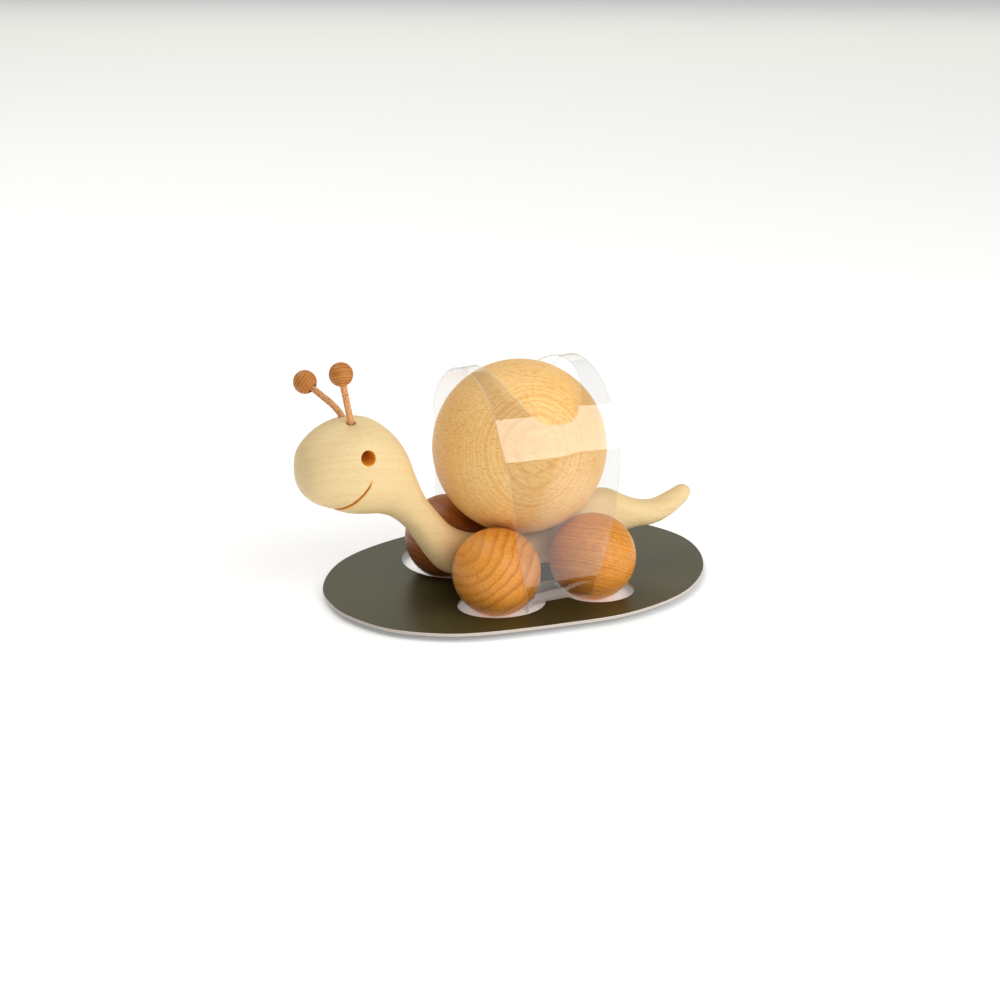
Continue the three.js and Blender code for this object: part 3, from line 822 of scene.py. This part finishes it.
def smoothstep(value, low, high):
    share = min(max((value - low) / (high - low), 0), 1)
    return share * share * (3 - 2 * share)


def strap_radius(x):
    """How far the film is from the line along X through the ball's centre."""
    nearness = math.exp(-(((x - STRAP_MIDDLE_X) / STRAP_CROWN_WIDTH) ** 2))
    return STRAP_EDGE_RADIUS + (STRAP_BALL_RADIUS - STRAP_EDGE_RADIUS) * nearness


def strap_arch(x, angle):
    """Y and Z of the film over the ball, at an angle from the top."""
    radius = strap_radius(x)
    return radius * math.sin(angle), SHELL_CENTRE.z + radius * math.cos(angle)


def strap_leg_out(x, z):
    """Y of the film below its bulge, where it goes round the wheels and into the slot."""
    curl = min(STRAP_CURL_RATE * abs((x - STRAP_MIDDLE_X) / MM) ** 3, STRAP_CURL_MOST) * MM
    low = STRAP_SLOT + curl
    free = low + (STRAP_BULGE - low) * smoothstep(z, CARD_TOP - 1 * MM, STRAP_BULGE_HEIGHT)
    clear = WHEEL_RADIUS + STRAP_OFF_WHEEL
    ahead = abs(x) - WHEELBASE / 2
    room = clear**2 - ahead**2 - (z - AXLE_HEIGHT) ** 2
    return max(free, TRACK / 2 + math.sqrt(room)) if room > 0 else free


def strap_half_rows():
    """Rows of the film, from the middle of its crown down the left side to under the card.

    Each is the height that sets its width, and a function that gives a point's Y and Z from its X.
    """
    rows = []
    for i in range(STRAP_ARC_ROWS + 1):
        angle = STRAP_LEAVES_BALL * i / STRAP_ARC_ROWS
        height = SHELL_CENTRE.z + STRAP_EDGE_RADIUS * math.cos(angle)
        rows.append((height, lambda x, angle=angle: strap_arch(x, angle)))
    leg_top = SHELL_CENTRE.z + STRAP_EDGE_RADIUS * math.cos(STRAP_LEAVES_BALL)

    def leg(x, share):
        y, z = strap_arch(x, STRAP_LEAVES_BALL)
        return y + (STRAP_BULGE - y) * share, z + (STRAP_BULGE_HEIGHT - z) * share

    for i in range(1, STRAP_LEG_ROWS + 1):
        share = i / STRAP_LEG_ROWS
        z = leg_top + (STRAP_BULGE_HEIGHT - leg_top) * share
        rows.append((z, lambda x, share=share: leg(x, share)))
    low = CARD_TOP + 0.2 * MM
    for i in range(1, STRAP_FOOT_ROWS + 1):
        z = STRAP_BULGE_HEIGHT + (low - STRAP_BULGE_HEIGHT) * i / STRAP_FOOT_ROWS
        rows.append((z, lambda x, z=z: (strap_leg_out(x, z), z)))
    turn_in = ((0.0, 1), (0.1, 0.5), (0.3, 0.15), (0.6, 0))
    for back, up in turn_in:
        place = (back * MM, STRAP_UNDER_CARD + up * MM)
        rows.append((STRAP_UNDER_CARD, lambda x, p=place: (strap_leg_out(x, CARD_TOP) - p[0], p[1])))
    for y in (17 * MM, 14 * MM, 10 * MM, 7 * MM, 3.5 * MM):
        rows.append((STRAP_UNDER_CARD, lambda x, y=y: (y, STRAP_UNDER_CARD)))
    return rows


def strap_grid():
    """Points on the middle of the film, by row all round the loop and by column from rear to front."""
    half = strap_half_rows()
    rows = [(height, at, 1) for height, at in half]
    rows.append((STRAP_UNDER_CARD, lambda x: (0.0, STRAP_UNDER_CARD), 1))
    rows += [(height, at, -1) for height, at in reversed(half[1:])]
    grid = np.empty((len(rows), STRAP_COLUMNS + 1, 3))
    for r, (height, at, side) in enumerate(rows):
        rear, front = smooth_through(STRAP_REAR_EDGE, height), smooth_through(STRAP_FRONT_EDGE, height)
        for c in range(STRAP_COLUMNS + 1):
            x = rear + (front - rear) * c / STRAP_COLUMNS
            y, z = at(x)
            grid[r, c] = (x, side * y, z)
    return grid


def strap_window():
    """The solid that cuts the hole in the film for the top of the ball."""
    rim = []
    for pair in arc(1, 0, 360, 160)[:-1]:
        u, v = (math.copysign(abs(value) ** (2 / STRAP_HOLE_POWER), value) for value in pair)
        rim.append((STRAP_MIDDLE_X + STRAP_HOLE_ACROSS * u, STRAP_HOLE_ALONG * v))
    return prism("cut_window", rim, SHELL_CENTRE.z + 8 * MM, SHELL_CENTRE.z + 38 * MM, upright)


def clear_strap(film, edge):
    grid = strap_grid()
    along = np.roll(grid, -1, axis=0) - np.roll(grid, 1, axis=0)
    normal = np.cross(np.gradient(grid, axis=1), along)
    normal /= np.linalg.norm(normal, axis=2)[:, :, None]
    skins = [grid + normal * offset for offset in (-STRAP_THICKNESS / 2, STRAP_THICKNESS / 2)]
    points = np.concatenate([skin.reshape(-1, 3) for skin in skins])
    count, wide, _ = grid.shape
    outer = wide * count
    faces = []
    for r in range(count):
        a, b = r * wide, (r + 1) % count * wide
        for c in range(STRAP_COLUMNS):
            faces.append((a + c, b + c, b + c + 1, a + c + 1))
            faces.append((outer + a + c, outer + a + c + 1, outer + b + c + 1, outer + b + c))
        for c in (0, STRAP_COLUMNS):
            faces.append((a + c, b + c, outer + b + c, outer + a + c))
    piece = new_object("strap", points, faces, film, edge)
    finish_mesh(piece, 50)
    subtract(piece, [strap_window()])
    finish_mesh(piece, 50)
    mark_film_edge(piece.data, normal.reshape(-1, 3), grid.reshape(-1, 3))
    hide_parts("clear_strap")
    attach(piece, "snail")


def mark_film_edge(mesh, normals, places):
    """Gives the edge material to the faces that lie across the film instead of along it."""
    tree = KDTree(len(places))
    for i, place in enumerate(places):
        tree.insert(place, i)
    tree.balance()
    for polygon in mesh.polygons:
        _, nearest, _ = tree.find(polygon.center)
        polygon.material_index = 0 if abs(polygon.normal.dot(Vector(normals[nearest]))) > 0.6 else 1


# ---------------------------------------------------------------- stage, light and camera

CAMERA_AZIMUTH, CAMERA_ELEVATION = 154.459, 18.461
CAMERA_AIM = Vector((0.0038, -0.0075, 0.0302))
CAMERA_DISTANCE = 0.8405
CAMERA_LENS, CAMERA_SENSOR = 87.16, 36


def camera():
    azimuth, elevation = math.radians(CAMERA_AZIMUTH), math.radians(CAMERA_ELEVATION)
    flat = math.cos(elevation)
    back = Vector((math.sin(azimuth) * flat, -math.cos(azimuth) * flat, math.sin(elevation)))
    data = bpy.data.cameras.new("camera")
    data.lens = CAMERA_LENS
    data.sensor_width = CAMERA_SENSOR
    made = bpy.data.objects.new("camera", data)
    made.location = CAMERA_AIM + back * CAMERA_DISTANCE
    made.rotation_mode = "QUATERNION"
    made.rotation_quaternion = (-back).to_track_quat("-Z", "Y")
    bpy.context.scene.collection.objects.link(made)
    bpy.context.scene.camera = made


def softbox(name, place, aim, width, height, power, colour=(1, 1, 1)):
    """A rectangle of light at place, facing aim. Sizes are in metres and power in watts."""
    data = bpy.data.lights.new(name, "AREA")
    data.shape = "RECTANGLE"
    data.size = width
    data.size_y = height
    data.energy = power
    data.color = colour
    made = bpy.data.objects.new(name, data)
    made.location = place
    made.rotation_mode = "QUATERNION"
    made.rotation_quaternion = (place - aim).to_track_quat("Z", "Y")
    bpy.context.scene.collection.objects.link(made)


def lights():
    """A large box beside the camera, which the film shows as its bright band, and weaker ones."""
    middle = Vector((0, 0, 0.04))
    softbox("front_box", Vector((-0.42, 1.05, 0.6)), Vector((0, 0, 0.1)), 1.45, 1.24, 16.5)
    softbox("top_box", Vector((0.35, -0.45, 1.25)), middle, 1.3, 1.3, 11)
    softbox("left_box", Vector((1.3, 0.5, 0.7)), middle, 0.8, 0.8, 0.7)
    softbox("back_panel", Vector((-0.75, -1.35, 0.5)), middle, 2.2, 0.7, 3, (1, 0.96, 0.76))
    world = bpy.data.worlds.new("world")
    world.use_nodes = True
    background = world.node_tree.nodes["Background"]
    background.inputs["Color"].default_value = (1, 1, 1, 1)
    background.inputs["Strength"].default_value = 0.22
    bpy.context.scene.world = world
    bpy.context.scene.view_settings.view_transform = "Standard"
    bpy.context.scene.view_settings.look = "None"


def floor():
    """White, and lit a little from below. It darkens to the front, which the film shows under its band."""
    g = Graph("floor")
    reach, darkens_from, front_edge = 6, 0.33, 0.8
    forward = g.node("SeparateXYZ", {0: g.place()}).outputs["Y"]
    bright = g.ramp(forward, (darkens_from, 1.0), (front_edge, 0.1))
    colour = g.mix(bright, (0, 0, 0, 1), (0.9, 0.9, 0.9, 1))
    material = g.shader(base_color=colour, roughness=0.75, emission_color=colour, emission_strength=0.26)
    corners = [(-reach, -reach, 0), (reach, -reach, 0), (reach, front_edge, 0), (-reach, front_edge, 0)]
    made = new_object("floor", corners, [(0, 1, 2, 3)], material)


# ---------------------------------------------------------------- making

MAPLE = wood(
    "maple", srgb(225, 200, 149), srgb(207, 166, 98), Vector((0, 0.12, -0.2)), Vector((1, 0.05, 0.12)),
    3.2 * MM, rings=0.2, streaks=0.3, rays=0.1, rough=0.45, cuts=srgb(244, 176, 62),
)
BEECH = wood(
    "beech", srgb(243, 203, 132), srgb(222, 146, 50), SHELL_CENTRE - Vector((0.246, 0.94, 0.236)) * 0.08,
    Vector((-0.885, 0.305, -0.292)), 1.0 * MM, rings=0.45, rays=0.6,
)
DOWEL = wood("dowel", srgb(226, 186, 126), srgb(196, 140, 74), Vector((0.03, 0, 0.03)), Y, 1.3 * MM)
BEAD = wood(
    "bead_wood", srgb(200, 130, 56), srgb(122, 62, 18), Vector((0.06, -0.01, 0.07)), Vector((0.3, 0.8, 0.2)),
    1.0 * MM, rings=0.6, streaks=0.35, rays=0.1,
)
# Early and late wood for each side's wheels. The right wheels' colours are the left ones made darker and
# redder: painted shade for the far side, which sits in the shadow of the neck and the ball.
WHEEL_COLOURS_WITH_PAINTED_SHADE = {
    "left": (srgb(226, 152, 60), srgb(160, 85, 14)),
    "right": (srgb(162, 95, 38), srgb(100, 50, 12)),
}
# A wheel's own pith, from its centre, and its fibres and ring thickness
WHEEL_GRAIN = {
    "front_left": (Vector((10.3, -9.4, 12.1)) * MM, Vector((0.409, 0.856, 0.317)), 3.3 * MM),
    "rear_left": (Vector((-10, -20, 70)) * MM, Vector((-0.86, 0.47, -0.17)), 0.95 * MM),
    "front_right": (Vector((20, 10, -14)) * MM, Vector((0.5, 0.8, 0.1)), 2.2 * MM),
    "rear_right": (Vector((-6, 30, 50)) * MM, Vector((0.9, 0.1, 0.4)), 1.4 * MM),
}

snail_body(MAPLE)
shell_ball(BEECH)
for end in ENDS:
    axle(end, DOWEL)
    for side in SIDES:
        pith, fibre, ring = WHEEL_GRAIN[f"{end}_{side}"]
        grain = wood(
            f"wheel_wood_{end}_{side}", *WHEEL_COLOURS_WITH_PAINTED_SHADE[side], wheel_centre(end, side) + pith, fibre, ring,
            rings=0.5, rays=0.4, rough=0.38,
        )
        wheel(end, side, grain)
LEATHER = leather()
for side in SIDES:
    stalk(side, LEATHER)
    bead(side, BEAD)
display_card(card_face(), card_edge())
clear_strap(clear_film(), film_edge())

floor()
lights()
camera()
